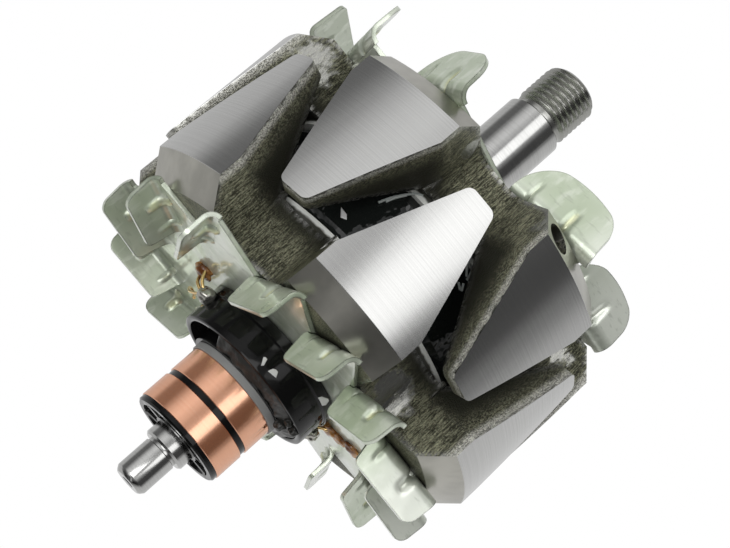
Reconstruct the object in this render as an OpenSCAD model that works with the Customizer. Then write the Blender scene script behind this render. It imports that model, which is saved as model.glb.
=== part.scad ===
// Claw-pole rotor of a vehicle alternator, in millimetres.
// The shaft lies along +X towards the threaded drive end, and +Z is up.
// The origin is on the shaft axis, midway between the two pole end faces.

/* [Pole halves] */
// diameter over the turned claw faces
pole_d = 99; // [90:0.5:110]
// length between the two pole end faces
pole_len = 49.2; // [44:0.2:56]
// claws on each pole half
claw_n = 6; // [6:1:7]
// thickness of each pole disc
disc_t = 14; // [12:0.5:16]
// depth of the valleys between the claws below the claw faces
valley_depth = 15.5; // [13:0.5:18]
// half width of a claw at its root, as an angle about the shaft
claw_root_deg = 14.4; // [12:0.2:16]
// half width of a claw at its tip, as an angle about the shaft
claw_tip_deg = 4; // [3:0.2:6]
// length of the parallel part of a claw from the pole end face
claw_straight = 10.4; // [8:0.2:12]
// distance from the claw tip to the far pole end face
claw_tip_gap = 11.85; // [9:0.05:15]
// thickness of a claw at its tip
claw_tip_t = 3.6; // [2.5:0.1:5]
// thickness of a claw where it leaves the disc
claw_root_t = 13; // [11:0.5:15]
// corner radius of a claw tip
claw_tip_round = 1.8; // [0.5:0.1:2.5]
// radius between the side of a claw and the valley beside it
valley_round = 6; // [2:0.5:8]
// axial length of the chamfer round the claw roots
chamfer_len = 5.4; // [3:0.2:7]
// radial depth of the chamfer round the claw roots
chamfer_depth = 5.5; // [3:0.1:7]
// diameter of the core boss inside the coil
core_d = 42; // [36:0.5:46]
// diameter of the balance drilling
balance_d = 6.5; // [4:0.5:8]
// depth of the balance drilling
balance_depth = 6; // [3:0.5:8]

/* [Shaft] */
// diameter of the shaft under the pole halves
shaft_d = 18; // [16:0.5:22]
// diameter of the drive end bearing seat
seat_d = 15; // [12:0.5:15.5]
// pole end face to the far end of the bearing seat
seat_end = 28.8; // [24:0.2:34]
// thread size at the pulley end
thread_d = 14; // [12:0.5:14]
// length of the thread
thread_len = 11.6; // [8:0.2:16]
// length of the undercut before the thread
undercut_len = 1.4; // [1:0.1:2.5]
// diameter of the slip ring end of the shaft
tail_d = 10.4; // [9:0.2:11.5]
// diameter of the rear journal
pin_d = 8; // [6:0.5:8.5]
// length of the rear journal
pin_len = 9.4; // [7:0.2:12]

/* [Field coil] */
// thickness of each bobbin flange
flange_t = 1.8; // [1.2:0.1:2.5]
// wall of the bobbin tube
bobbin_wall = 1.2; // [0.8:0.1:2]
// step from the bobbin flange edge down to the winding
coil_step = 0.6; // [0.3:0.1:1.5]
// diameter of the two lead holes through the rear pole half
lead_hole_d = 5; // [4:0.2:6]
// distance of the leads from the outside of the cup collar
lead_gap = 6; // [5:0.1:8]
// height of the leads above the rear fan plate
lead_rise = 4.4; // [3.6:0.1:6]
// diameter of the lead wires
lead_d = 1.4; // [1:0.1:2]
// angle of the first lead from the first rear claw, the second is opposite
lead_at = -83; // [-90:1:-70]

/* [Fans] */
// sheet thickness of the fans
sheet_t = 1.2; // [0.8:0.1:1.6]
// how far the blade roots start inside the valley floor
blade_root_in = 0.5; // [0:0.1:2]
// how far the blade ends stay inside the claw faces
blade_inset = 1.6; // [1:0.1:4]
// height of the rear blades above the fan plate
rear_blade_h = 7.4; // [6:0.2:10]
// height of the drive end blades above the fan plate
drive_blade_h = 8; // [6:0.2:10]
// corner radius of the rear blades
rear_blade_round = 2.4; // [1:0.1:3]
// corner radius of the drive end blades
drive_blade_round = 6; // [2:0.5:7]
// how much shorter a blade is at its free edge, inner end
blade_taper = 1.8; // [0.5:0.1:4]
// share of a blade root that the plate carries
root_share = 0.92; // [0.7:0.02:1]
// each rear blade in order: angle from the first rear claw, sweep from the radius
rear_blades = [[-159, 32], [-137, 47], [-107.4, 40], [-79.5, 36], [-58.5, 49], [-30.5, 51],
    [-4.2, 33.5], [18.7, 24], [42.2, 53.5], [70.4, 36], [101.9, 34], [123.5, 42], [149, 44], [175, 42]];
// each drive end blade in order: angle, sweep, and how much farther out its root starts
drive_blades = [[-142, 62, 0], [-109, 62, 0], [-83, 66, 0], [-44, 68, 4], [5, 63.3, 0], [48.7, 57, 0],
    [84, 62, 0], [120, 62, 0], [153, 62, 0], [186, 62, 0]];

/* [Slip rings] */
// diameter of the slip rings
ring_d = 23; // [20:0.5:25]
// width of each slip ring
ring_w = 6.4; // [4:0.1:7]
// gap between the slip rings
ring_gap = 1.4; // [1:0.1:2.5]
// wall of each slip ring
ring_wall = 2.2; // [1.5:0.1:3]
// thickness of the end moulding beyond the outer ring
end_cap_t = 1.3; // [0.8:0.1:2.5]
// pockets in the end moulding
pocket_n = 8; // [6:1:10]
// rear pole end face to the inner slip ring
ring_stand_off = 13.3; // [12.5:0.1:18]
// width of the grey washer behind the rings
washer_t = 1.7; // [1:0.1:2.5]
// depth of the groove between the slip rings
ring_groove = 0.3; // [0.1:0.1:1]
// how far the washer stands above the slip rings
washer_rise = 0.4; // [0.2:0.1:1]
// diameter of the neck behind the washer
neck_d = 25.6; // [24.5:0.2:28]
// outside diameter of the cup collar
cup_d = 35.2; // [33:0.2:38]
// wall of the cup collar
cup_wall = 1.5; // [1:0.1:2.2]
// height of the cup collar above the fan plate
cup_h = 9; // [7:0.2:11]
// thickness of the cup floor
cup_floor = 2.4; // [1.5:0.1:3.5]

/* [Drive end collar] */
// diameter of the collar that the bearing stands against
collar_d = 23; // [20:0.5:26]
// length of the collar beyond the fan plate
collar_len = 6.2; // [4:0.2:7.5]

/* [Hidden] */
$fn = 72;
// turn about the shaft as in the photograph
rotor_turn = 203.56;
// step from the bearing seat up to the press seat of the fan and collar
press_step = 0.3;
press_r = seat_d / 2 + press_step;
pole_r = pole_d / 2;
half = pole_len / 2;
disc_in = half - disc_t;
valley_r = pole_r - valley_depth;
tip_z = half - claw_tip_gap;
taper_z = claw_straight - half;
under_slope = (claw_root_t - claw_tip_t) / (tip_z + disc_in);
root_w = pole_r * sin(claw_root_deg);
tip_w = pole_r * sin(claw_tip_deg);
plate_z = half + sheet_t;
ring_in = half + ring_stand_off;
ring_mid = ring_in + ring_w;
ring_out = ring_mid + ring_gap + ring_w;
cap_z = ring_out + end_cap_t;
washer_z = ring_in - washer_t;
cup_z = plate_z + cup_h;
boss_end = cap_z + 3.4;
pin_end = boss_end + pin_len;
seat_z = half + seat_end;
thread_z = seat_z + undercut_len;
shaft_end = thread_z + thread_len;
collar_z = plate_z + collar_len;
bobbin_r = core_d / 2 + bobbin_wall;
coil_r = valley_r - coil_step;
coil_z = disc_in - flange_t;
cup_lip = 0.6;
// how far a blade laps over the edge of its tooth
lap = 0.15;
terminal_len = 3.2;
lead_end = plate_z + lead_rise;
lead_at_r = max(cup_d / 2 + lead_gap, bobbin_r + lead_d / 2 + 0.7);
dome_r = lead_hole_d;
blade_in_r = valley_r - blade_root_in;
blade_out_r = pole_r - blade_inset;

// parallel to the shaft, turned as photographed
module on_axis() {
    rotate([0, 90, 0])
        rotate([0, 0, rotor_turn])
            children();
}

// ring or tube between two stations on the shaft
module tube(r_out, r_in, z0, z1) {
    rotate_extrude()
        polygon([[r_in, z0], [r_out, z0], [r_out, z1], [r_in, z1]]);
}

// unit vector from one point to another
function unit(a, b) = (b - a) / norm(b - a);

// half of the angle at corner b
function half_angle(a, b, c) = acos(unit(b, a) * unit(b, c)) / 2;

// point on the way from b to a where a fillet of radius r starts
function touch(a, b, c, r) = b + unit(b, a) * r / tan(half_angle(a, b, c));

// centre of a fillet of radius r in corner b
function middle(a, b, c, r) =
    b + unit([0, 0], unit(b, a) + unit(b, c)) * r / sin(half_angle(a, b, c));

// four-sided outline whose last two corners are rounded
module round_top(p, r) {
    polygon([p[0], p[1],
        touch(p[1], p[2], p[3], r), touch(p[3], p[2], p[1], r),
        touch(p[2], p[3], p[0], r), touch(p[0], p[3], p[2], r)]);
    translate(middle(p[1], p[2], p[3], r))
        circle(r);
    translate(middle(p[2], p[3], p[0], r))
        circle(r);
}

// points of a fillet in corner b, from the side of a to the side of c
function fillet(a, b, c, r, n) =
    [for (i = [0:n])
        middle(a, b, c, r) + r * unit(middle(a, b, c, r),
            touch(a, b, c, r) + (touch(c, b, a, r) - touch(a, b, c, r)) * i / n)];

// section of a pole half through the shaft, tip towards +Z
module pole_section() {
    polygon([
        [shaft_d / 2, -half], [pole_r - chamfer_depth, -half],
        [pole_r, chamfer_len - half], [pole_r, tip_z + 1],
        [pole_r - claw_tip_t + under_slope, tip_z + 1], [pole_r - claw_root_t, -disc_in],
        [core_d / 2, -disc_in], [core_d / 2, 0], [shaft_d / 2, 0]]);
}

// rounded feet of one claw, seen along the shaft
module claw_feet() {
    corner = [sqrt(valley_r * valley_r - root_w * root_w), root_w];
    out = [pole_r, root_w];
    mid = valley_r * [cos(180 / claw_n), sin(180 / claw_n)];
    room = 0.9 * norm(mid - corner) * tan(half_angle(out, corner, mid));
    r = min(valley_round, room);
    start = touch(out, corner, mid, r);
    end = touch(mid, corner, out, r);
    foot = concat(fillet(out, corner, mid, r, 6),
        [end * 0.9, corner * 0.85, [start[0], start[1] / 2]]);
    polygon(foot);
    mirror([0, 1])
        polygon(foot);
}

// one claw seen from outside, swept along the radius
module claw_prism() {
    p = [[-taper_z, -root_w], [-taper_z, root_w], [-tip_z, tip_w], [-tip_z, -tip_w]];
    translate([valley_r * 0.9, 0, 0])
        rotate([0, 90, 0])
            linear_extrude(height = pole_r)
                polygon(concat([[half + 1, -root_w], [half + 1, root_w], p[1]],
                    fillet(p[1], p[2], p[3], claw_tip_round, 5),
                    fillet(p[2], p[3], p[0], claw_tip_round, 5), [p[0]]));
}

// one forged pole half with its claws pointing to +Z
module pole_half() {
    intersection() {
        rotate_extrude()
            pole_section();
        union() {
            translate([0, 0, -half - 1])
                cylinder(r = valley_r, h = disc_t + 2);
            translate([0, 0, -disc_in - 1])
                cylinder(r = core_d / 2 + 4, h = disc_in + 2);
            for (k = [0:claw_n - 1])
                rotate([0, 0, k * 360 / claw_n]) {
                    claw_prism();
                    translate([0, 0, -half - 1])
                        linear_extrude(height = disc_t + 2)
                            claw_feet();
                }
        }
    }
}

// places children at one lead, and at both
module at_lead(k) {
    rotate([0, 0, lead_at + k])
        translate([lead_at_r, 0, 0])
            children();
}

module at_leads() {
    at_lead(0)
        children();
    at_lead(180)
        children();
}

module rear_pole() {
    color([0.28, 0.27, 0.22])
        on_axis()
            difference() {
                pole_half();
                at_leads()
                    translate([0, 0, -half - 1])
                        cylinder(d = lead_hole_d, h = disc_t + 1.5);
            }
}

module drive_end_pole() {
    color([0.28, 0.27, 0.22])
        on_axis()
            difference() {
                rotate([0, 0, 180 / claw_n])
                    mirror([0, 0, 1])
                        pole_half();
                rotate([0, 0, 180 / claw_n - claw_root_deg + 4.4])
                    translate([pole_r - chamfer_depth / 2, 0, half - chamfer_len / 2])
                        rotate([0, 45, 0])
                            translate([0, 0, -balance_depth])
                                cylinder(d = balance_d, h = balance_depth + chamfer_len);
            }
}

module coil_bobbin() {
    color([0.72, 0.72, 0.68])
        on_axis()
            difference() {
                rotate_extrude()
                    polygon([[core_d / 2, -disc_in], [valley_r, -disc_in], [valley_r, -coil_z],
                        [bobbin_r, -coil_z], [bobbin_r, coil_z], [valley_r, coil_z],
                        [valley_r, disc_in], [core_d / 2, disc_in]]);
                at_leads()
                    translate([0, 0, -disc_in - 1])
                        cylinder(d = lead_d, h = flange_t + 2);
            }
}

module field_coil() {
    color([0.06, 0.06, 0.06])
        on_axis()
            rotate_extrude()
                polygon([[bobbin_r, -coil_z], [coil_r - 1.2, -coil_z], [coil_r, -coil_z + 2],
                    [coil_r, coil_z - 2], [coil_r - 1.2, coil_z], [bobbin_r, coil_z]]);
}

module shaft() {
    color([0.7, 0.7, 0.7])
        on_axis()
            difference() {
                rotate_extrude()
                    polygon([
                        [0, -pin_end], [pin_d / 2 - 0.9, -pin_end],
                        [pin_d / 2, -pin_end + 1.2], [pin_d / 2, -boss_end - 0.6],
                        [pin_d / 2 - 0.3, -boss_end - 0.6], [pin_d / 2 - 0.3, -boss_end],
                        [tail_d / 2 - 0.4, -boss_end], [tail_d / 2, -boss_end + 0.5],
                        [tail_d / 2, -plate_z], [shaft_d / 2, -plate_z],
                        [shaft_d / 2, half], [press_r, half],
                        [press_r, collar_z], [seat_d / 2, collar_z],
                        [seat_d / 2, seat_z - 0.4], [seat_d / 2 - 0.4, seat_z],
                        [thread_d / 2 - 1, seat_z], [thread_d / 2 - 1, thread_z],
                        [thread_d / 2, thread_z + 0.8], [thread_d / 2, shaft_end - 1],
                        [thread_d / 2 - 1, shaft_end], [0, shaft_end]]);
                translate([0, 0, -pin_end - 0.01])
                    cylinder(r1 = 1.9, r2 = 0, h = 3.2);
                translate([0, 0, shaft_end - 3.2 + 0.01])
                    cylinder(r1 = 0, r2 = 1.9, h = 3.2);
            }
}

// radius at which the root of a blade starts
function root_r(b) = blade_in_r + (len(b) > 2 ? b[2] : 0);

// length of a blade root that ends at the outside radius of the fan
function root_len(b) =
    sqrt(pow(blade_out_r, 2) - pow(root_r(b) * sin(b[1]), 2)) - root_r(b) * cos(b[1]);

// inner end of a blade root, and the point where the plate lets go of it
function root_in(b) = root_r(b) * [cos(b[0]), sin(b[0])];
function root_out(b) = root_in(b) + root_share * root_len(b) * [cos(b[0] + b[1]), sin(b[0] + b[1])];

// flat saw-toothed fan plate from z = 0 up, one tooth for each blade
module fan_plate(blades, bore_r) {
    linear_extrude(height = sheet_t)
        difference() {
            polygon([for (b = blades) each [root_in(b), root_out(b)]]);
            circle(bore_r);
        }
}

// one blade bent up from the edge of its tooth
module blade(b, h, corner_r) {
    len = root_len(b);
    rotate([0, 0, b[0]])
        translate([root_r(b), 0, 0])
            rotate([0, 0, b[1]])
                rotate([90, 0, 0])
                    translate([0, 0, lap - sheet_t])
                        linear_extrude(height = sheet_t)
                            intersection() {
                                round_top([[-2 * lap, 0], [len, 0], [len - blade_taper / 2, sheet_t + h],
                                    [blade_taper, sheet_t + h]], corner_r);
                                translate([-2 * lap, 0])
                                    square([len + 2 * lap, sheet_t + h + 1]);
                            }
}

module rear_fan() {
    color([0.72, 0.75, 0.66])
        on_axis()
            translate([0, 0, -half])
                mirror([0, 0, 1])
                    difference() {
                        union() {
                            fan_plate(rear_blades, shaft_d / 2);
                            for (b = rear_blades)
                                blade(b, rear_blade_h, rear_blade_round);
                        }
                        at_leads()
                            translate([0, 0, -1])
                                cylinder(d = lead_hole_d, h = sheet_t + 2);
                    }
}

module drive_end_fan() {
    color([0.72, 0.75, 0.66])
        on_axis()
            translate([0, 0, half])
                union() {
                    fan_plate(drive_blades, press_r);
                    for (b = drive_blades)
                        blade(b, drive_blade_h, drive_blade_round);
                }
}

module drive_end_collar() {
    color([0.6, 0.6, 0.6])
        on_axis()
            rotate_extrude()
                polygon([[press_r, plate_z], [collar_d / 2, plate_z],
                    [collar_d / 2, collar_z - 0.8], [collar_d / 2 - 0.8, collar_z],
                    [press_r, collar_z]]);
}

module slip_ring_hub() {
    core_r = ring_d / 2 - ring_wall;
    groove_r = ring_d / 2 - ring_groove;
    color([0.07, 0.07, 0.07])
        on_axis()
            difference() {
                rotate_extrude()
                    polygon([
                        [tail_d / 2, -cap_z], [ring_d / 2 - 0.6, -cap_z],
                        [ring_d / 2 - 0.2, -cap_z + 0.4], [ring_d / 2 - 0.2, -ring_out],
                        [core_r, -ring_out], [core_r, -ring_mid - ring_gap],
                        [groove_r, -ring_mid - ring_gap], [groove_r, -ring_mid],
                        [core_r, -ring_mid], [core_r, -washer_z],
                        [neck_d / 2, -washer_z], [neck_d / 2, -plate_z - cup_floor],
                        [tail_d / 2, -plate_z - cup_floor]]);
                for (k = [0:pocket_n - 1])
                    rotate([0, 0, k * 360 / pocket_n])
                        translate([tail_d / 2 + 1.6, -0.9, -cap_z - 1])
                            cube([core_r - tail_d / 2 - 1.8, 1.8, 2]);
            }
}

module outer_slip_ring() {
    color([0.85, 0.5, 0.35])
        on_axis()
            tube(ring_d / 2, ring_d / 2 - ring_wall, -ring_out, -ring_mid - ring_gap);
}

module inner_slip_ring() {
    color([0.85, 0.5, 0.35])
        on_axis()
            tube(ring_d / 2, ring_d / 2 - ring_wall, -ring_mid, -ring_in);
}

module ring_washer() {
    color([0.5, 0.5, 0.5])
        on_axis()
            tube(ring_d / 2 + washer_rise, ring_d / 2 - ring_wall, -ring_in, -washer_z);
}

module cup_collar() {
    color([0.07, 0.07, 0.07])
        on_axis()
            rotate_extrude()
                polygon([
                    [tail_d / 2, -plate_z], [cup_d / 2 + cup_lip, -plate_z],
                    [cup_d / 2 + cup_lip, -plate_z - cup_floor], [cup_d / 2, -plate_z - cup_floor],
                    [cup_d / 2, -cup_z + 0.4], [cup_d / 2 - 0.4, -cup_z],
                    [cup_d / 2 - cup_wall, -cup_z],
                    [cup_d / 2 - cup_wall, -plate_z - cup_floor],
                    [tail_d / 2, -plate_z - cup_floor]]);
}

// lead from the coil through the pole and the plate, then in to the terminal
module lead(k) {
    color([0.72, 0.4, 0.2])
        on_axis()
            at_lead(k) {
                translate([0, 0, -lead_end])
                    cylinder(d = lead_d, h = lead_end - coil_z);
                translate([0, 0, -lead_end])
                    sphere(d = lead_d);
                translate([0, 0, -lead_end])
                    rotate([0, -90, 0])
                        cylinder(d = lead_d, h = lead_at_r - cup_d / 2 - terminal_len);
            }
}

// resin plug in the lead hole with a dome over the fan plate
module resin(k) {
    dome_h = dome_r * 0.55;
    ball_r = (dome_r * dome_r + dome_h * dome_h) / (2 * dome_h);
    color([0.5, 0.25, 0.06])
        on_axis()
            at_lead(k)
                difference() {
                    union() {
                        translate([0, 0, -plate_z])
                            cylinder(d = lead_hole_d, h = sheet_t + disc_t / 2);
                        intersection() {
                            translate([0, 0, -plate_z + ball_r - dome_h])
                                sphere(r = ball_r);
                            translate([0, 0, -plate_z - 2 * dome_h])
                                cylinder(r = dome_r + 1, h = 2 * dome_h);
                        }
                    }
                    translate([0, 0, -lead_end])
                        cylinder(d = lead_d, h = lead_end);
                }
}

// tinned terminal block on the outside of the cup collar
module terminal(k) {
    size = lead_d * 2.9;
    color([0.45, 0.43, 0.4])
        on_axis()
            rotate([0, 0, lead_at + k])
                difference() {
                    translate([cup_d / 2 - cup_wall, -size / 2, -lead_end - size / 2])
                        cube([cup_wall + terminal_len, size, size]);
                    translate([0, 0, -cup_z - 1])
                        cylinder(d = cup_d, h = cup_h);
                }
}

module lead_a() {
    lead(0);
}

module lead_b() {
    lead(180);
}

module resin_a() {
    resin(0);
}

module resin_b() {
    resin(180);
}

module terminal_a() {
    terminal(0);
}

module terminal_b() {
    terminal(180);
}

shaft();
rear_pole();
drive_end_pole();
coil_bobbin();
field_coil();
rear_fan();
drive_end_fan();
drive_end_collar();
slip_ring_hub();
outer_slip_ring();
inner_slip_ring();
ring_washer();
cup_collar();
lead_a();
lead_b();
resin_a();
resin_b();
terminal_a();
terminal_b();
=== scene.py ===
import bpy
import bmesh
import math
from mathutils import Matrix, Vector, noise


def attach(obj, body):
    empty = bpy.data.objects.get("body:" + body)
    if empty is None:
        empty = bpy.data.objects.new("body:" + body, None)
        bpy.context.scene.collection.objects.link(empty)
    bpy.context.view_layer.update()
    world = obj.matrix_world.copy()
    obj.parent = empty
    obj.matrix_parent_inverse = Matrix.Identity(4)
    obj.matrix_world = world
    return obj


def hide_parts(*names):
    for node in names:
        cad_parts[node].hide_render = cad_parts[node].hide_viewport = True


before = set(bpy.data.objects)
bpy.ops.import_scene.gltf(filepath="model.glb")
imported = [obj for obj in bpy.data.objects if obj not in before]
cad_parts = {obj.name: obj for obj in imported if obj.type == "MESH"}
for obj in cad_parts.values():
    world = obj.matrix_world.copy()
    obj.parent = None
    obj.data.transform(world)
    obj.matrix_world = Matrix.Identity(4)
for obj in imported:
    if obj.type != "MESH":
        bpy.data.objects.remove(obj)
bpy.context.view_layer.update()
mm = 0.001
photoTurn = 18.32  # degrees from straight up to the side that faces the camera
print("frame loaded")


# point on the rotor: station along the shaft and radius in mm, angle as the photo sees it (0 faces the camera)
def onRotor(u, r, theta):
    a = math.radians(theta + photoTurn)
    return Vector((u * mm, -r * mm * math.sin(a), r * mm * math.cos(a)))


def newObject(name, data):
    ob = bpy.data.objects.new(name, data)
    bpy.context.collection.objects.link(ob)
    return ob


def smoothed(ob):
    for poly in ob.data.polygons:
        poly.use_smooth = True
    return ob


def meshObject(name, verts, faces):
    data = bpy.data.meshes.new(name)
    data.from_pydata([tuple(v) for v in verts], [], faces)
    data.validate()
    return smoothed(newObject(name, data))


def paint(ob, material):
    ob.data.materials.clear()
    ob.data.materials.append(material)


def addPiece(ob, material, slotName, *nodes):
    paint(ob, material)
    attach(ob, "root")
    if nodes:
        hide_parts(*nodes)


# gives a surface its thickness, half to each side
def thicken(ob, name, thickness):
    skin = ob.modifiers.new(name, "SOLIDIFY")
    skin.thickness = thickness * mm
    skin.offset = 0


# surface of revolution about the shaft, radius may change with the angle
def lathe(name, stations, radius, steps=96):
    verts, faces = [], []
    for u in stations:
        for k in range(steps):
            t = 360 * k / steps
            verts.append(onRotor(u, radius(u, t), t))
    for i in range(len(stations) - 1):
        for k in range(steps):
            n = (k + 1) % steps
            faces.append((i * steps + k, i * steps + n, (i + 1) * steps + n, (i + 1) * steps + k))
    faces.append(tuple(range(steps))[::-1])
    faces.append(tuple((len(stations) - 1) * steps + k for k in range(steps)))
    return meshObject(name, verts, faces)


# closed profile swept round the shaft, the profile may change with the angle
def revolve(name, profile, steps):
    sharpFrom = 35  # degrees between faces
    verts, faces = [], []
    for k in range(steps):
        loop = profile(360 * k / steps)
        verts += [onRotor(u, r, 360 * k / steps) for u, r in loop]
    n = len(loop)
    for k in range(steps):
        a, b = k * n, (k + 1) % steps * n
        faces += [(a + i, a + (i + 1) % n, b + (i + 1) % n, b + i) for i in range(n)]
    ob = meshObject(name, verts, faces)
    bm = bmesh.new()
    bm.from_mesh(ob.data)
    bmesh.ops.recalc_face_normals(bm, faces=bm.faces)
    bm.to_mesh(ob.data)
    bm.free()
    ob.data.set_sharp_from_angle(angle=math.radians(sharpFrom))
    return ob


# round wire along a list of points
def wire(name, points, radius):
    curve = bpy.data.curves.new(name, "CURVE")
    curve.dimensions = "3D"
    curve.bevel_depth = radius * mm
    curve.bevel_resolution = 3
    curve.use_fill_caps = True
    line = curve.splines.new("NURBS")
    line.points.add(len(points) - 1)
    for p, q in zip(line.points, points):
        p.co = (*q, 1)
    line.use_endpoint_u = True
    line.order_u = 3
    line.resolution_u = 6
    temp = newObject(name + "Curve", curve)
    bpy.context.view_layer.update()
    data = bpy.data.meshes.new_from_object(temp.evaluated_get(bpy.context.evaluated_depsgraph_get()))
    bpy.data.objects.remove(temp)
    return smoothed(newObject(name, data))


# lumpy drop of resin, solder or filling, the seed picks its lumps
def blob(name, centre, size, seed):
    lumps = {"height": 0.3, "scale": 1.6}
    bpy.ops.mesh.primitive_ico_sphere_add(subdivisions=4, radius=1)
    ob = bpy.context.object
    ob.name = name
    for v in ob.data.vertices:
        k = 1 + lumps["height"] * noise.noise(v.co * lumps["scale"] + Vector((seed, seed * 2, 0)))
        v.co = centre + Vector([v.co[i] * size[i] * mm * k for i in range(3)])
    return smoothed(ob)


# short ways to write the nodes of a material or of the world
class Nodes:
    def __init__(self, owner):
        owner.use_nodes = True
        self.owner = owner
        self.tree = owner.node_tree
        self.bsdf = self.tree.nodes.get("Principled BSDF")

    def add(self, kind, **values):
        n = self.tree.nodes.new("ShaderNode" + kind)
        for k, v in values.items():
            setattr(n, k, v)
        return n

    def link(self, a, b):
        self.tree.links.new(a, b)

    def put(self, socket, value):
        if isinstance(value, bpy.types.NodeSocket):
            self.link(value, socket)
        else:
            socket.default_value = (*value, 1) if isinstance(value, tuple) else value

    def set(self, **values):
        for k, v in values.items():
            self.put(self.bsdf.inputs[k.replace("_", " ")], v)
        return self.owner

    def math(self, op, a, b=0.0):
        n = self.add("Math", operation=op)
        self.put(n.inputs[0], a)
        self.put(n.inputs[1], b)
        return n.outputs[0]

    def times(self, a, b):
        return self.math("MULTIPLY", a, b)

    def plus(self, a, b):
        return self.math("ADD", a, b)

    def minus(self, a, b):
        return self.math("SUBTRACT", a, b)

    def larger(self, a, b):
        return self.math("MAXIMUM", a, b)

    # soft step from one value to another
    def step(self, value, low, high, to=(0.0, 1.0)):
        n = self.add("MapRange", interpolation_type="SMOOTHSTEP")
        self.put(n.inputs["Value"], value)
        for socket, limit in zip(("From Min", "From Max", "To Min", "To Max"), (low, high, *to)):
            n.inputs[socket].default_value = limit
        return n.outputs["Result"]

    # the same between two lengths in mm
    def band(self, value, span):
        return self.step(value, span[0] * mm, span[1] * mm)

    def noise(self, scale, stretch=(1, 1, 1), detail=3.0, rough=0.5):
        m = self.add("Mapping")
        m.inputs["Scale"].default_value = stretch
        self.link(self.add("NewGeometry").outputs["Position"], m.inputs["Vector"])
        n = self.add("TexNoise")
        self.link(m.outputs["Vector"], n.inputs["Vector"])
        for socket, value in (("Scale", scale), ("Detail", detail), ("Roughness", rough)):
            n.inputs[socket].default_value = value
        return n.outputs["Fac"]

    # mix of two colours
    def mix(self, fac, a, b):
        n = self.add("Mix", data_type="RGBA")
        for socket, value in ((0, fac), (6, a), (7, b)):
            self.put(n.inputs[socket], value)
        return n.outputs[2]

    # mix of two numbers
    def blend(self, fac, a, b):
        n = self.add("Mix", data_type="FLOAT")
        for socket, value in ((0, fac), (2, a), (3, b)):
            self.put(n.inputs[socket], value)
        return n.outputs[0]

    # mix of two bumps
    def blendBumps(self, fac, a, b):
        n = self.add("Mix", data_type="VECTOR")
        for socket, value in ((0, fac), (4, a), (5, b)):
            self.put(n.inputs[socket], value)
        return n.outputs[1]

    def mixShaders(self, fac, a, b):
        n = self.add("MixShader")
        for socket, value in enumerate((fac, a, b)):
            self.put(n.inputs[socket], value)
        return n.outputs[0]

    def bump(self, height, strength, distance, under=None):
        n = self.add("Bump")
        n.inputs["Strength"].default_value = strength
        n.inputs["Distance"].default_value = distance * mm
        self.link(height, n.inputs["Height"])
        if under:
            self.link(under, n.inputs["Normal"])
        return n.outputs["Normal"]

    # x, y and z of the position or the normal
    def axes(self, kind):
        at = self.add("SeparateXYZ")
        self.link(self.add("NewGeometry").outputs[kind], at.inputs[0])
        return tuple(at.outputs)

    # distance from the shaft's axis
    def radius(self):
        y, z = self.axes("Position")[1:]
        return self.math("SQRT", self.plus(self.math("POWER", y, 2.0), self.math("POWER", z, 2.0)))

    # number that the mesh carries at its points
    def carried(self, name):
        return self.add("Attribute", attribute_name=name).outputs["Fac"]

    # share of open space above a surface, or of solid below it
    def openness(self, distance, samples, **values):
        n = self.add("AmbientOcclusion", samples=samples, **values)
        n.inputs["Distance"].default_value = distance * mm
        return n.outputs["AO"]

    # 1 near a point, broken up at its rim
    def spot(self, centre, size, broken):
        d = self.add("VectorMath", operation="DISTANCE")
        self.link(self.add("NewGeometry").outputs["Position"], d.inputs[0])
        d.inputs[1].default_value = centre
        near = self.minus(1.0, self.math("DIVIDE", d.outputs["Value"], size * mm))
        return self.step(self.plus(near, self.minus(broken, 0.5)), 0.18, 0.42)

    # 1 along sharp edges
    def edges(self, size, limit):
        soft = self.add("Bevel")
        soft.inputs["Radius"].default_value = size * mm
        dot = self.add("VectorMath", operation="DOT_PRODUCT")
        self.link(soft.outputs[0], dot.inputs[0])
        self.link(self.add("NewGeometry").outputs["Normal"], dot.inputs[1])
        return self.step(dot.outputs["Value"], 1 - limit / 4, 1 - limit)


def newMaterial(name):
    return Nodes(bpy.data.materials.new(name))


def shade(colour, share):
    return tuple(c * share for c in colour)


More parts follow.
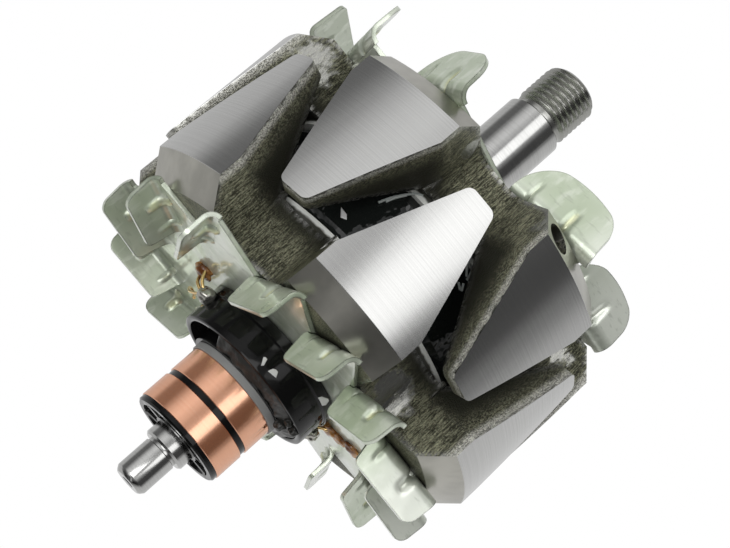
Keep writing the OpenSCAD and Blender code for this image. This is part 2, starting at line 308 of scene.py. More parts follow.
# claw poles: turned faces, a chamfer round the roots and forged skin elsewhere
# lengths in mm, noise as scale, stretch, detail and roughness, spots as station, radius, angle and size
def poleMaterial():
    look = {"forgedDark": (0.030, 0.030, 0.019), "forgedLight": (0.44, 0.44, 0.295), "turned": (0.56, 0.56, 0.55),
            "chamfer": (0.48, 0.47, 0.425), "bare": (0.33, 0.33, 0.315), "burr": (0.86, 0.85, 0.78),
            "turnedR": (49.38, 49.44), "chamferR": (42.5, 43.5), "chamferFrom": (18.0, 19.0),
            "darkFrom": (11.0, 17.0), "darkR": (42.5, 47.8), "burrR": (47.0, 48.7), "paintedShadeReach": 14, "rimReach": 1.6,
            "grain": (4200, (0.7, 1, 1), 2, 0.6), "streak": (4600, (0.10, 1, 1), 3, 0.6),
            "coarse": (260, (0.6, 1, 1), 3, 0.6), "lines": (1.0, (3100, 0, 0), 1.5, 0.6),
            "darkening": (190, (0.2, 1, 1), 3), "rubbed": (1100, (0.4, 1, 1), 3), "ragged": (520, (0.7, 1, 1), 3),
            "worn": (900, (0.5, 1, 1), 3),
            "bareSpots": ((17.5, 43.4, -65, 7.6), (18, 42.8, 75, 5), (-19.4, 34, 38.1, 6.5), (21.7, 39.5, -6.6, 3.2))}
    m = newMaterial("poleSteel")
    r, away = m.radius(), m.math("ABSOLUTE", m.axes("Position")[0])
    grain, streak, coarse = (m.noise(*look[kind]) for kind in ("grain", "streak", "coarse"))
    # forged skin, with painted shade where the claws shade each other, and darker on the claw sides towards the coil
    tone = m.plus(m.plus(m.times(grain, 0.38), m.times(streak, 0.50)), m.times(coarse, 0.12))
    skin = m.mix(m.step(tone, 0.43, 0.63), look["forgedDark"], look["forgedLight"])
    # painted shade: the skin goes darker where ambient occlusion finds it closed in
    skin = m.mix(m.step(m.openness(look["paintedShadeReach"], 4), 0.08, 0.78), shade(look["forgedDark"], 0.6), skin)
    outer = m.larger(m.band(away, look["darkFrom"]), m.band(r, look["darkR"]))
    skin = m.mix(outer, look["forgedDark"], skin)
    # paler granular band below the turned faces
    burr = m.times(m.band(r, look["burrR"]), m.blend(m.step(grain, 0.42, 0.58), 0.20, 1.0))
    skin = m.mix(m.times(burr, 0.85), skin, look["burr"])
    # rubbed metal on the outside edges, and bare patches left by handling
    thin = m.minus(1.0, m.openness(look["rimReach"], 6, inside=True, only_local=True))
    rub = m.times(m.step(thin, 0.05, 0.36), m.step(m.noise(*look["rubbed"]), 0.34, 0.58))
    for u, at, theta, size in look["bareSpots"]:
        patch = m.spot(onRotor(u, at, theta), size, m.noise(*look["ragged"]))
        worn = m.blend(m.step(m.noise(*look["worn"]), 0.30, 0.52), 0.70, 1.0)
        rub = m.larger(rub, m.times(patch, worn))
    base = m.mix(m.times(rub, 0.85), skin, look["bare"])
    # chamfer, found by its slope
    tilt = m.math("ABSOLUTE", m.axes("Normal")[0])
    slope = m.times(m.step(tilt, 0.55, 0.62), m.step(tilt, 0.86, 0.80))
    chamfer = m.times(slope, m.times(m.band(r, look["chamferR"]), m.band(away, look["chamferFrom"])))
    darkening = m.step(m.noise(*look["darkening"]), 0.3, 0.7)
    base = m.mix(chamfer, base, m.mix(darkening, shade(look["chamfer"], 0.80), look["chamfer"]))
    # turned faces, with fine lines straight round the shaft
    turned = m.band(r, look["turnedR"])
    lines = m.noise(*look["lines"])
    base = m.mix(turned, base, m.mix(m.step(lines, 0.3, 0.7), shade(look["turned"], 0.90), look["turned"]))
    smooth = m.larger(turned, chamfer)
    relief = m.bump(m.plus(m.times(grain, 0.55), m.times(streak, 0.45)), 1.0, 0.55)
    normal = m.blendBumps(m.larger(smooth, m.times(rub, 0.9)), relief, m.bump(lines, 0.08, 0.02))
    rough = m.blend(turned, m.blend(chamfer, m.blend(rub, 0.38, 0.24), 0.28), 0.25)
    metallic = m.blend(m.larger(smooth, rub), m.blend(burr, 0.55, 0.15), 1.0)
    along = m.add("Tangent", direction_type="RADIAL", axis="X").outputs[0]
    return m.set(Base_Color=base, Metallic=metallic, Roughness=rough, Normal=normal,
                 Tangent=along, Anisotropic=m.times(turned, 0.55), Anisotropic_Rotation=0.25)


# fans: pale green plating, with painted shade on one side (y above 22 mm) and painted light on the other
def platedMaterial():
    look = {"pale": (0.79, 0.85, 0.72), "green": (0.55, 0.63, 0.47), "cleanAndLit": (0.93, 0.97, 0.87),
            "gusset": (0.80, 0.83, 0.52), "bend": (0.26, 0.30, 0.22), "paintedShade": (0.34, 0.38, 0.29),
            "cut": (0.30, 0.32, 0.27), "paintedShadeY": (22, 40), "paintedLightY": (-31, -43)}
    m = newMaterial("platedSheet")
    base = m.mix(m.step(m.noise(55, detail=2), 0.35, 0.65), look["pale"], look["green"])
    base = m.mix(m.times(m.step(m.noise(180), 0.45, 0.8), 0.5), base, look["cleanAndLit"])
    base = m.mix(m.step(m.carried("pressed"), 0.35, 0.95), base, look["gusset"])
    y = m.axes("Position")[1]
    # painted shade on the side at y above 22 mm, painted light on the side at y below -31 mm
    base = m.mix(m.times(m.band(y, look["paintedShadeY"]), 0.5), base, look["paintedShade"])
    base = m.mix(m.band(y, look["paintedLightY"]), base, look["cleanAndLit"])
    # painted shade in the bends
    base = m.mix(m.times(m.carried("bent"), 0.55), base, look["bend"])
    # pale smears, faint dark scuffs and the cut edges, which are darker bare steel with painted shade for their dark
    # outline
    smear = m.step(m.noise(520, (0.35, 1, 1), 4), 0.50, 0.70)
    base = m.mix(m.times(smear, 0.40), base, look["cleanAndLit"])
    scuff = m.step(m.noise(1150, (1, 0.22, 0.4), 3), 0.58, 0.72)
    base = m.mix(m.times(scuff, 0.26), base, look["bend"])
    # cut edges: darker bare steel, and painted shade along the outline
    edge = m.edges(0.5, 0.2)
    base = m.mix(edge, base, look["cut"])
    ripple = m.bump(m.noise(95, detail=2), 0.22, 1.2)
    rough = m.blend(m.noise(120), 0.24, 0.36)
    return m.set(Base_Color=base, Metallic=m.blend(edge, 0.46, 1.0), Roughness=m.blend(edge, rough, 0.12),
                 Normal=m.bump(m.noise(420), 0.06, 0.2, ripple),
                 Coat_Weight=m.blend(edge, 0.8, 0.2), Coat_Roughness=0.06)


def shaftMaterial():
    look = {"dark": (0.42, 0.42, 0.41), "light": (0.58, 0.58, 0.57), "thread": (0.36, 0.36, 0.34),
            "threadFrom": (53.5, 54.5)}
    m = newMaterial("shaftSteel")
    lines = m.noise(1.0, (2600, 30, 30), 2)
    thread = m.band(m.axes("Position")[0], look["threadFrom"])
    base = m.mix(thread, m.mix(lines, look["dark"], look["light"]), look["thread"])
    return m.set(Base_Color=base, Metallic=1.0, Roughness=m.blend(thread, 0.16, 0.26),
                 Normal=m.bump(lines, 0.06, 0.02))


# copper polish over a deeper orange body
def copperMaterial():
    look = {"dark": (0.93, 0.50, 0.33), "light": (1.0, 0.62, 0.44), "body": (0.56, 0.17, 0.06), "bodyShare": 0.26}
    m = newMaterial("ringCopper")
    lines = m.noise(1.0, (4200, 30, 30), 2)
    m.set(Base_Color=m.mix(lines, look["dark"], look["light"]), Metallic=1.0, Roughness=0.17,
          Normal=m.bump(lines, 0.10, 0.02))
    body = m.add("BsdfDiffuse")
    m.put(body.inputs["Color"], look["body"])
    both = m.mixShaders(look["bodyShare"], m.bsdf.outputs[0], body.outputs[0])
    m.link(both, m.tree.nodes["Material Output"].inputs[0])
    return m.owner


def mouldingMaterial():
    m = newMaterial("blackMoulding")
    return m.set(Base_Color=(0.005, 0.005, 0.005), Roughness=0.08, Specular_IOR_Level=0.20,
                 Normal=m.bump(m.noise(140), 0.08, 0.3))


# pale spool, darker beside the poles, with a ragged edge
def bobbinMaterial():
    look = {"pale": (0.76, 0.77, 0.73), "poleSideDark": (0.045, 0.045, 0.036), "poleSideFrom": (9.4, 10.0), "ragged": 0.8}
    m = newMaterial("bobbinPlastic")
    away = m.math("ABSOLUTE", m.axes("Position")[0])
    ragged = m.times(m.minus(m.noise(600, detail=2), 0.5), look["ragged"] * mm)
    darkening = m.band(m.plus(away, ragged), look["poleSideFrom"])
    return m.set(Base_Color=m.mix(darkening, look["pale"], look["poleSideDark"]), Roughness=0.3)


def resinMaterial():
    look = {"dark": (0.16, 0.05, 0.010), "light": (0.72, 0.36, 0.12)}
    m = newMaterial("amberResin")
    return m.set(Base_Color=m.mix(m.step(m.noise(330), 0.35, 0.68), look["dark"], look["light"]), Roughness=0.12,
                 Transmission_Weight=0.25, Normal=m.bump(m.noise(260), 0.4, 0.4))


def plainMaterial(name, colour, rough, metallic=0.0, lumps=0.0, scale=300, depth=0.2):
    m = newMaterial(name)
    if lumps:
        m.set(Normal=m.bump(m.noise(scale), lumps, depth))
    tone = m.mix(m.noise(scale, detail=2), shade(colour, 0.8), colour)
    return m.set(Base_Color=tone, Metallic=metallic, Roughness=rough)


poleSteel = poleMaterial()
platedSheet = platedMaterial()
shaftSteel = shaftMaterial()
ringCopper = copperMaterial()
blackMoulding = mouldingMaterial()
bobbinPlastic = bobbinMaterial()
amberResin = resinMaterial()
coilVarnish = plainMaterial("coilVarnish", (0.012, 0.014, 0.013), 0.05, lumps=1.0, scale=120, depth=1.5)
greyMoulding = plainMaterial("greyMoulding", (0.30, 0.30, 0.295), 0.5)
leadCopper = plainMaterial("leadCopper", (0.82, 0.58, 0.26), 0.2, 1.0)
tinnedJoint = plainMaterial("tinnedJoint", (0.46, 0.45, 0.41), 0.16, 0.85, lumps=0.4, scale=420)
# strands pale as a painted highlight
strandPaintedGlint = plainMaterial("strandPaintedGlint", (0.50, 0.54, 0.52), 0.12)
# pale colour for painted glints
paintedGlint = plainMaterial("paintedGlint", (0.80, 0.80, 0.79), 0.45)
potting = plainMaterial("potting", (0.026, 0.026, 0.024), 0.36, lumps=0.9, scale=420, depth=0.5)

finishOf = {"shaft": shaftSteel, "rear_pole": poleSteel, "drive_end_pole": poleSteel, "coil_bobbin": bobbinPlastic,
            "field_coil": coilVarnish, "rear_fan": platedSheet, "drive_end_fan": platedSheet,
            "drive_end_collar": shaftSteel, "slip_ring_hub": blackMoulding, "outer_slip_ring": ringCopper,
            "inner_slip_ring": ringCopper, "ring_washer": greyMoulding, "cup_collar": blackMoulding,
            "lead_a": leadCopper, "lead_b": leadCopper, "resin_a": amberResin, "resin_b": amberResin,
            "terminal_a": tinnedJoint, "terminal_b": tinnedJoint}
cad = {ob.name: ob for ob in bpy.data.objects if ob.type == "MESH"}
for name, material in finishOf.items():
    paint(cad[name], material)
print("materials on", len(finishOf), "nodes")


# small bevels so the edges of the poles catch light
def softenPoles():
    bevel = {"nodes": ("rear_pole", "drive_end_pole"), "width": 0.35, "segments": 2, "angle": 32}
    for node in bevel["nodes"]:
        soften = cad[node].modifiers.new("edge", "BEVEL")
        soften.width = bevel["width"] * mm
        soften.segments = bevel["segments"]
        soften.limit_method = "ANGLE"
        soften.angle_limit = math.radians(bevel["angle"])


softenPoles()
print("pole edges done")


# shaft with its thread, profile as station and radius
def buildShaft():
    spec = {"pitch": 1.5, "partsOfTurn": 8, "threadR": 7.0, "depth": 0.82, "steep": 1.25, "crest": 0.12,
            "threadFrom": 54.9, "threadTo": 66.3, "chamfer": 1.1, "undercutR": 6.1, "leadIn": 0.8, "leadSlope": 1.2,
            "profile": ((-66.2, 3.1), (-65.9, 3.45), (-65.2, 3.95), (-65.0, 4.0), (-57.5, 4.0), (-57.3, 3.7),
                        (-56.8, 3.7), (-56.75, 4.75), (-56.3, 5.2), (-25.8, 5.2), (-25.75, 9.0), (24.55, 9.0),
                        (24.6, 7.8), (32.0, 7.8), (32.05, 7.5), (52.9, 7.5), (53.35, 7.1), (53.45, 6.1), (54.8, 6.1)),
            "splitFrom": 40, "holeR": 1.5, "holeAt": (-66.22, -66.215), "holeSteps": 32}
    plain = dict(spec["profile"])
    stations = list(plain)
    u = spec["threadFrom"]
    while u < spec["threadTo"]:
        stations.append(u)
        u += spec["pitch"] / spec["partsOfTurn"]
    stations.append(spec["threadTo"])

    def radius(u, t):
        if u in plain:
            return plain[u]
        turn = (u / spec["pitch"] - t / 360) % 1.0
        dip = min(1.0, max(0.0, spec["steep"] * (1 - abs(2 * turn - 1)) - spec["crest"]))
        r = spec["threadR"] - spec["depth"] * dip
        # chamfer at the end, run-out into the undercut at the start
        end = spec["threadTo"] - u
        if end < spec["chamfer"]:
            r = min(r, spec["threadR"] - (spec["chamfer"] - end))
        start = u - spec["threadFrom"]
        if start < spec["leadIn"]:
            r = min(r, spec["undercutR"] + start * spec["leadSlope"])
        return r

    ob = lathe("threadedShaft", stations, radius)
    for poly in ob.data.polygons:
        if len(poly.vertices) > 4:  # the two ends
            poly.use_smooth = False
    addPiece(ob, shaftSteel, "shaft_steel", "shaft")
    split = ob.modifiers.new("split", "EDGE_SPLIT")
    split.split_angle = math.radians(spec["splitFrom"])
    # dark disc for the centre hole in the end of the rear journal
    hole = lathe("centreHole", spec["holeAt"], lambda u, t: spec["holeR"], spec["holeSteps"])
    addPiece(hole, blackMoulding, "shaft_steel")


buildShaft()
print("shaft done")


# rings, washer, hub, cup and the black filling in the cup, profiles as station and radius
def buildSlipRings():
    spec = {"outer": (-52.1, -45.7), "inner": (-44.3, -37.9), "washer": (-37.9, -36.2), "ringR": 11.5, "washerR": 11.9,
            "coreR": 9.3, "boreR": 5.2, "edge": 0.12,
            "notchAt": 61.5, "notchHalf": 2.0, "notchDeep": 0.9, "notchWide": 0.9, "notchFlank": 0.2,
            "cap": -53.4, "capR": 11.3, "capChamfer": 0.4, "lipR": (9.6, 10.9), "sleeveR": 5.9, "sleeveBack": 0.3,
            "pocket": (0.25, 1.7), "pocketR": (6.1, 9.2), "webs": 8, "webTurn": 10, "webHalf": 6.0, "webFlank": 1.6,
            "gapR": 11.2, "neckR": 12.8, "cupFloor": -28.2,
            "cup": ((-25.8, 5.3), (-25.8, 18.2), (-28.0, 18.2), (-28.2, 18.0), (-28.2, 17.75), (-28.4, 17.6),
                    (-34.35, 17.6), (-34.65, 17.5), (-34.8, 17.2), (-34.8, 16.4), (-34.65, 16.15), (-34.4, 16.1),
                    (-28.2, 16.1), (-28.2, 5.3)),
            "fillR": (12.6, 16.1), "fillFoot": -29.0, "fillLow": -30.5, "fillTop": (-36.1, 0.3, 1.6), "fillRows": 8,
            "fillBumps": 0.5, "fillGrain": 520, "fillStretch": 0.6, "emptyAt": 272, "emptyHalf": 34, "emptyFlank": 14,
            "lumps": ((-36.3, 13.8, 60, 1.3), (-34.9, 16.0, 66, 1.2), (-35.2, 15.6, 54, 0.9)), "lumpSeed": 20}
    core = spec["coreR"]

    # ring with its edges broken, the inner one has a notch beside the washer
    def ringProfile(span, r, notched=False):
        a, b = span
        edge, foot = spec["edge"], b - spec["notchWide"]
        deep = spec["notchDeep"] if notched else 0.0

        def profile(t):
            cut = deep * math.exp(-((t - spec["notchAt"]) / spec["notchHalf"]) ** 2)
            return [(a, core), (a, r - edge), (a + edge, r), (foot - spec["notchFlank"], r), (foot, r - cut),
                    (b - edge, r - cut), (b, r - edge - cut), (b, core)]
        return profile

    # hub with pockets between the webs of its end
    def hubProfile(t):
        beside = abs((t + spec["webTurn"]) % (360 / spec["webs"]) - 180 / spec["webs"])
        deep = min(1.0, max(0.0, (beside - spec["webHalf"]) / spec["webFlank"]))
        cap, bore, rim, gap, neck = (spec[key] for key in ("cap", "boreR", "capR", "gapR", "neckR"))
        sleeve, pocket = cap + spec["sleeveBack"], cap + spec["pocket"][0] + spec["pocket"][1] * deep
        (pocketIn, pocketOut), (lipIn, lipOut) = spec["pocketR"], spec["lipR"]
        (outerA, outerB), innerA, washerB = spec["outer"], spec["inner"][0], spec["washer"][1]
        return [(sleeve, bore), (sleeve, spec["sleeveR"]), (pocket, pocketIn), (pocket, pocketOut),
                (cap, lipIn), (cap, lipOut), (cap + spec["capChamfer"], rim), (outerA, rim), (outerA, core),
                (outerB, core), (outerB, gap), (innerA, gap), (innerA, core), (washerB, core), (washerB, neck),
                (spec["cupFloor"], neck), (spec["cupFloor"], bore)]

    # the filling stands up to the washer and leaves a hollow at the top left
    def fillProfile(t):
        beside = abs((t - spec["emptyAt"] + 180) % 360 - 180)
        full = min(1.0, max(0.0, (beside - spec["emptyHalf"]) / spec["emptyFlank"]))
        inside, outside = spec["fillR"]
        peak, slope, fall = spec["fillTop"]
        low = spec["fillLow"]
        loop = [(spec["fillFoot"], inside)]
        for k in range(spec["fillRows"] + 1):
            share = k / spec["fillRows"]
            r = inside + (outside - inside) * share
            top = peak + slope * share + fall * share ** 2
            top += spec["fillBumps"] * noise.noise(onRotor(top * spec["fillStretch"], r, t) * spec["fillGrain"])
            loop.append((low + (top - low) * full, r))
        return loop + [(spec["fillFoot"], outside)]

    outer, inner = ringProfile(spec["outer"], spec["ringR"]), ringProfile(spec["inner"], spec["ringR"], True)
    washer = ringProfile(spec["washer"], spec["washerR"])
    for name, profile, finish, slotName, node, steps in (
            ("outerRing", outer, ringCopper, "ring_copper", "outer_slip_ring", 144),
            ("innerRing", inner, ringCopper, "ring_copper", "inner_slip_ring", 360),
            ("greyWasher", washer, greyMoulding, "grey_moulding", "ring_washer", 144),
            ("ringHub", hubProfile, blackMoulding, "black_moulding", "slip_ring_hub", 360),
            ("cup", lambda t: spec["cup"], blackMoulding, "black_moulding", "cup_collar", 144),
            ("cupFilling", fillProfile, potting, "black_moulding", "cup_collar", 220)):
        addPiece(revolve(name, profile, steps), finish, slotName, node)
    # lumps of filling beside the notch
    for k, (u, r, theta, size) in enumerate(spec["lumps"]):
        lump = blob("fillLump%d" % k, onRotor(u, r, theta), (size, size, size), k + spec["lumpSeed"])
        addPiece(lump, potting, "black_moulding", "cup_collar")


buildSlipRings()
print("slip rings done")


# painted glints on the black cup and on the coil, drawn as thin pale patches: slot, radius, then station and angle of
# each corner
def buildGlints():
    cupR, rimR, coilR, thick = 17.66, 18.26, 33.6, 0.1
    glints = {"sliverChip": ("black_moulding", cupR,
                            ((-31.9, -2.5), (-31.6, -1.6), (-31.6, 0.2), (-33.0, 1.9), (-33.4, 0.6))),
             "broadChip": ("black_moulding", cupR,
                           ((-33.1, 6.2), (-32.0, 7.1), (-31.6, 8.9), (-31.6, 11.0), (-32.7, 13.1))),
             "rimChip": ("black_moulding", rimR,
                         ((-28.0, 44.0), (-27.2, 45.5), (-26.2, 51.0), (-26.2, 53.5), (-27.2, 54.8), (-28.0, 52.5))),
             "coilFlake": ("coil_varnish", coilR,
                           ((-3.4, -22.3), (-5.1, -19.5), (-4.6, -17.4), (-3.8, -18.8)))}
    for name, (slotName, r, corners) in glints.items():
        ob = meshObject(name, [onRotor(u, r, theta) for u, theta in corners], [tuple(range(len(corners)))])
        bm = bmesh.new()
        bm.from_mesh(ob.data)
        bmesh.ops.triangulate(bm, faces=bm.faces)
        bmesh.ops.subdivide_edges(bm, edges=bm.edges, cuts=3, use_grid_fill=True)
        # back on to the round below
        for v in bm.verts:
            k = r * mm / math.hypot(v.co.y, v.co.z)
            v.co.y, v.co.z = v.co.y * k, v.co.z * k
        bm.to_mesh(ob.data)
        bm.free()
        thicken(ob, "glintSheet", thick)
        addPiece(ob, paintedGlint, slotName)


# loose varnished strands on the coil, pale as a painted highlight, paths as station and angle
def buildStrands():
    spec = {"r": 33.9, "thick": 0.28,
            "paths": (((10.2, 22.4), (9.6, 22.9), (7.6, 24.4), (6.2, 25.1)),
                      ((10.2, 19.4), (8.6, 20.6), (7.6, 21.8), (6.6, 24.0)),
                      ((10.2, 23.9), (8.5, 24.9), (6.9, 26.9), (4.9, 30.4)),
                      ((5.3, 25.2), (4.7, 26.0), (4.1, 26.9)),
                      ((4.5, 23.6), (4.2, 24.8), (4.0, 26.0)),
                      ((2.4, -14.6), (4.6, -13.4), (7.0, -11.2), (9.4, -8.4), (10.0, -6.4)),
                      ((3.6, -13.2), (5.6, -12.2), (7.6, -10.2)))}
    for k, path in enumerate(spec["paths"]):
        strand = wire("coilStrand%d" % k, [onRotor(u, spec["r"], theta) for u, theta in path], spec["thick"])
        addPiece(strand, strandPaintedGlint, "coil_varnish")


buildGlints()
buildStrands()
print("chips and strands done")


# resin, wire ends and solder at the two leads, points as station, radius and angle
def buildLeads():
    spec = {"a": {"at": -72, "resin": (((-26.3, 22.6, -80), (1.3, 2.3, 2.0)),),
                  "wires": (((-26.2, 22.8, -76), (-28.2, 22.2, -74), (-29.4, 20.6, -72), (-29.8, 19.0, -71)),
                            ((-26.2, 22.6, -83), (-28.6, 22.4, -80), (-29.6, 20.8, -77), (-30.0, 19.2, -74)))},
            "b": {"at": 112, "resin": (((-26.1, 21.4, 111), (0.9, 2.5, 2.3)), ((-26.0, 24.0, 107), (0.7, 2.3, 2.1)),
                                       ((-26.0, 26.8, 99), (0.8, 2.3, 2.1))),
                  "wires": (((-25.9, 22.4, 106), (-26.3, 21.6, 108), (-27.2, 19.8, 111), (-28.6, 18.6, 112)),)}}
    solder = {"u": -29.6, "r": 18.9, "size": (1.9, 2.1, 1.9), "seed": 5}
    wireR = 0.38
    # brass tail bent back beside the first joint
    tail = {"r": 0.34, "path": ((-29.4, 19.4, -86), (-29.8, 21.2, -98), (-29.0, 23.4, -108), (-27.8, 24.4, -112),
                                (-28.0, 23.0, -116), (-29.6, 21.4, -108), (-30.4, 19.8, -94))}
    count = 0
    for key, lead in spec.items():
        for centre, size in lead["resin"]:
            count += 1
            lump = blob("resin%d" % count, onRotor(*centre), size, count)
            addPiece(lump, amberResin, "amber_resin", "resin_" + key)
        place = onRotor(solder["u"], solder["r"], lead["at"])
        joint = blob("joint_" + key, place, solder["size"], count + solder["seed"])
        addPiece(joint, tinnedJoint, "tinned_joint", "terminal_" + key)
        for k, path in enumerate(lead["wires"]):
            strand = wire("lead_%s%d" % (key, k), [onRotor(*q) for q in path], wireR)
            addPiece(strand, leadCopper, "lead_copper", "lead_" + key)
    addPiece(wire("tail_a", [onRotor(*q) for q in tail["path"]], tail["r"]), leadCopper, "lead_copper", "lead_a")


buildLeads()
print("leads done")


# fans as bent sheet: saw-toothed plate, blades curving up from it, gussets pressed into the bends
# gussets as place along the blade, depth and half width, blades as angle, sweep and how much farther out they start
def buildFans():
    sheet = {"thick": 1.0, "rootR": 33.5, "endR": 47.9, "toothFrom": 0.4, "toothTo": 0.92, "mid": 0.45, "turn": 5.24,
             "taper": 1.8, "narrow": 1.5, "gussets": ((0.62, 1.05, 1.0), (0.20, 0.60, 0.55)), "gussetLift": 0.71,
             "cols": 56, "bendRows": 8, "faceRows": 9, "rimParts": 6, "edge": 0.32, "edgeParts": 3, "edgeFrom": 50}
    fans = {"rear": {"u": -24.6, "up": -1, "height": 8.6, "bend": 2.3, "fade": 2.6, "bore": 9.0,
                     "round": (1.3, 2.4), "crown": 0.0, "odd": {},
                     "blades": ((-159, 32), (-137, 47), (-107.4, 40), (-79.5, 36), (-58.5, 49), (-30.5, 51),
                                (-4.2, 33.5), (18.7, 24), (42.2, 53.5), (70.4, 36), (101.9, 34), (123.5, 42),
                                (149, 44), (175, 42))},
            "drive_end": {"u": 24.6, "up": 1, "height": 11.8, "bend": 2.8, "fade": 4.2, "bore": 7.8,
                          "round": (6.0, 3.6), "crown": 2.0, "odd": {1: (1.2, 1.5), 3: (6.5, 6.0)},
                          "blades": ((-142, 62), (-113, 80, 6.8), (-81, 80, 5.5), (-44, 68, 4), (5, 63.3), (48.7, 57),
                                     (84, 62), (120, 62), (153, 62), (186, 62))}}
    half, mid, bendRows = sheet["thick"] / 2, sheet["mid"], sheet["bendRows"]
    rows = bendRows + sheet["faceRows"] + 1
    for name, fan in fans.items():
        turnR, height = fan["bend"], fan["height"]
        foot = half + turnR  # where the bend ends and the flat of the blade begins
        verts, faces, pressed, bent, outline = [], [], [], [], []

        def put(x, y, z, push=0.0, bend=0.0):
            angle = math.degrees(math.atan2(y, x)) + sheet["turn"]
            verts.append(onRotor(fan["u"] + fan["up"] * z, math.hypot(x, y), angle))
            pressed.append(push)
            bent.append(bend)

        for which, (angle, sweep, *farther) in enumerate(fan["blades"]):
            # blades with odd corners have a straight free edge, the others a slight arc
            odd = fan["odd"].get(which)
            corners, crown = (odd, 0.0) if odd else (fan["round"], fan["crown"])
            rootR = sheet["rootR"] + sum(farther)
            a, d = math.radians(angle), math.radians(angle + sweep)
            ox, oy = rootR * math.cos(a), rootR * math.sin(a)
            ax, ay = math.cos(d), math.sin(d)
            lean = ox * ax + oy * ay
            length = -lean + math.sqrt(lean * lean + sheet["endR"] ** 2 - rootR ** 2)

            def at(t, off):
                return ox + ax * t - ay * off, oy + ay * t + ax * off

            # free edge above the plate, w runs from the root to the end
            def topAt(w):
                top = height - crown * (2 * w - 1) ** 2
                for gap, corner in zip((w * length, (1 - w) * length), corners):
                    if gap < corner:
                        top -= corner - math.sqrt(corner ** 2 - (corner - gap) ** 2)
                return top

            edge = mid + turnR
            outline += [at(sheet["toothFrom"], edge), at(length * sheet["toothTo"], edge)]
            # columns along the blade, rows from the plate over the bend to the free edge
            first = len(verts)
            for i in range(sheet["cols"] + 1):
                w = 0.5 - 0.5 * math.cos(math.pi * i / sheet["cols"])
                top = topAt(w)
                for k in range(rows):
                    if k <= bendRows:
                        q = math.radians(90 * k / bendRows)
                        off, z, fade = edge - turnR * math.sin(q), half + turnR * (1 - math.cos(q)), 1.0
                    else:
                        off, z = mid, foot + (top - foot) * (k - bendRows) / sheet["faceRows"]
                        fade = max(0.0, 1 - ((z - foot) / fan["fade"]) ** 2)
                    slant = sheet["taper"] * z / height
                    t = slant + (length - sheet["narrow"] * slant) * w
                    push = sum(depth * fade * math.exp(-(abs(t - share * length) / wide) ** 4)
                               for share, depth, wide in sheet["gussets"])
                    lift = push * sheet["gussetLift"]
                    bend = math.sin(math.pi * k / bendRows) if k < bendRows else 0.0
                    put(*at(t, off + lift), z + (lift if k else 0.0), push, bend)
            for i in range(sheet["cols"]):
                for k in range(rows - 1):
                    n = first + i * rows + k
                    faces.append((n, n + 1, n + rows + 1, n + rows))
        # plate between the bore and the tooth edges
        rim, parts = [], sheet["rimParts"]
        for (x0, y0), (x1, y1) in zip(outline, outline[1:] + outline[:1]):
            rim += [(x0 + (x1 - x0) * k / parts, y0 + (y1 - y0) * k / parts) for k in range(parts)]
        first = len(verts)
        for x, y in rim:
            r = math.hypot(x, y)
            for share in (0.0, 0.5, 1.0):
                k = (fan["bore"] + (r - fan["bore"]) * share) / r
                put(x * k, y * k, half)
        for i in range(len(rim)):
            n, m = first + 3 * i, first + 3 * ((i + 1) % len(rim))
            faces += [(n, n + 1, m + 1, m), (n + 1, n + 2, m + 2, m + 1)]
        ob = meshObject(name + "Fan", verts, faces)
        for mark, values in (("pressed", pressed), ("bent", bent)):
            ob.data.attributes.new(mark, "FLOAT", "POINT").data.foreach_set("value", values)
        thicken(ob, "sheet", sheet["thick"])
        soft = ob.modifiers.new("edge", "BEVEL")
        soft.width = sheet["edge"] * mm
        soft.segments = sheet["edgeParts"]
        soft.angle_limit = math.radians(sheet["edgeFrom"])
        addPiece(ob, platedSheet, "plated_sheet", name + "_fan")


buildFans()
print("fans done")


# camera as fitted to the photo
def photoCamera():
    view = {"at": (-102.13, -106.08, 319.69), "back": (-0.29192, -0.30068, 0.90795),
            "lens": 81.0, "sensor": 36, "near": 10}
    cam = bpy.data.cameras.new("photoCamera")
    cam.sensor_width = view["sensor"]
    cam.lens = view["lens"]
    cam.clip_start = view["near"] * mm
    ob = newObject("photoCamera", cam)
    ob.location = Vector(view["at"]) * mm
    ob.rotation_euler = Vector(view["back"]).to_track_quat("Z", "Y").to_euler()
    bpy.context.scene.camera = ob


# floor that reads white to the camera and grey to reflections, darker away from the rotor
def studioFloor():
    paper = {"size": 6, "z": -49.6, "colour": (0.7, 0.7, 0.7), "rough": 0.9,
             "near": 0.80, "far": 0.28, "fall": (50, 500), "behind": 0.68, "behindFrom": (0, 120)}
    bpy.ops.mesh.primitive_plane_add(size=paper["size"], location=(0, 0, paper["z"] * mm))
    floor = bpy.context.object
    floor.name = "studioFloor"
    f = newMaterial("floorPaper")
    f.set(Base_Color=paper["colour"], Roughness=paper["rough"])
    ray, white, sheen = f.add("LightPath"), f.add("Emission"), f.add("Emission")
    away = f.add("VectorMath", operation="LENGTH")
    f.link(f.add("NewGeometry").outputs["Position"], away.inputs[0])
    front = f.blend(f.band(away.outputs["Value"], paper["fall"]), paper["near"], paper["far"])
    behind = f.band(f.axes("Position")[1], paper["behindFrom"])
    f.put(sheen.inputs["Strength"], f.blend(behind, front, paper["behind"]))
    dull = f.mixShaders(ray.outputs["Is Glossy Ray"], f.bsdf.outputs[0], sheen.outputs[0])
    shown = f.mixShaders(ray.outputs["Is Camera Ray"], dull, white.outputs[0])
    f.link(shown, f.tree.nodes["Material Output"].inputs[0])
    paint(floor, f.owner)


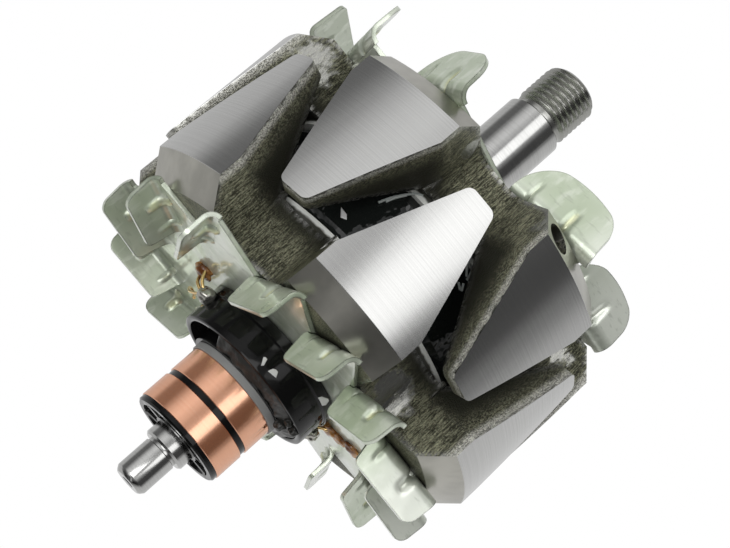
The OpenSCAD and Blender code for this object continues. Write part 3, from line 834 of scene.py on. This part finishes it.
# light tent: brightness by the angle round the shaft, darker towards the slip ring end
def lightTent():
    tent = {"stops": ((-180, 0.30), (-110, 0.50), (-94, 0.46), (-86, 0.30), (-80, 0.15), (-56, 0.13), (-47, 0.29),
                      (-37, 0.53), (-28, 0.69), (-16, 0.75), (-4, 0.60), (10, 0.36), (20, 0.42), (40, 0.45), (52, 0.20),
                      (62, 0.06), (92, 0.06), (100, 0.22), (150, 0.40)),
            "strength": 1.34, "dim": 0.16, "dimFrom": (-0.95, -0.45)}
    world = bpy.data.worlds.new("studio")
    bpy.context.scene.world = world
    w = Nodes(world)
    at = w.add("SeparateXYZ")
    w.link(w.add("TexCoord").outputs["Generated"], at.inputs[0])
    x, y, z = at.outputs
    angle = w.math("ARCTAN2", w.times(y, -1), z)
    share = w.add("MapRange")
    share.inputs["From Min"].default_value = -math.pi
    share.inputs["From Max"].default_value = math.pi
    w.link(angle, share.inputs["Value"])
    ramp = w.add("ValToRGB")
    ramp.color_ramp.interpolation = "EASE"
    dots = ramp.color_ramp.elements
    while len(dots) > 1:
        dots.remove(dots[-1])
    for k, (deg, value) in enumerate(tent["stops"]):
        place = (deg + 180) / 360
        dot = dots.new(place) if k else dots[0]
        dot.position = place
        dot.color = (value, value, value, 1)
    w.link(share.outputs["Result"], ramp.inputs[0])
    room, wall = w.tree.nodes["Background"], w.add("Background")
    w.link(ramp.outputs[0], room.inputs[0])
    w.link(w.step(x, *tent["dimFrom"], (tent["dim"], tent["strength"])), room.inputs[1])
    w.put(wall.inputs[0], (1, 1, 1))
    shown = w.mixShaders(w.add("LightPath").outputs["Is Camera Ray"], room.outputs[0], wall.outputs[0])
    w.link(shown, w.tree.nodes["World Output"].inputs[0])


# soft boxes: position in mm, size in mm, watts
def softBoxes():
    lamps = {"key": ((190, -306, 496), (620, 270), 0.72), "fill": ((-200, -50, 450), (260, 260), 0.58),
             "leftHigh": ((-380, 60, 380), (160, 260), 0.10), "strip": ((-470, -70, 150), (60, 200), 0.025),
             "lowRight": ((440, -300, 240), (200, 200), 0.10)}
    for name, (at, size, power) in lamps.items():
        lamp = bpy.data.lights.new(name, "AREA")
        lamp.shape = "RECTANGLE"
        lamp.size, lamp.size_y = size[0] * mm, size[1] * mm
        lamp.energy = power
        ob = newObject(name, lamp)
        ob.location = Vector(at) * mm
        ob.rotation_euler = ob.location.to_track_quat("Z", "Y").to_euler()


photoCamera()
studioFloor()
lightTent()
softBoxes()
bpy.context.scene.view_settings.view_transform = "Standard"
print("camera and light done")
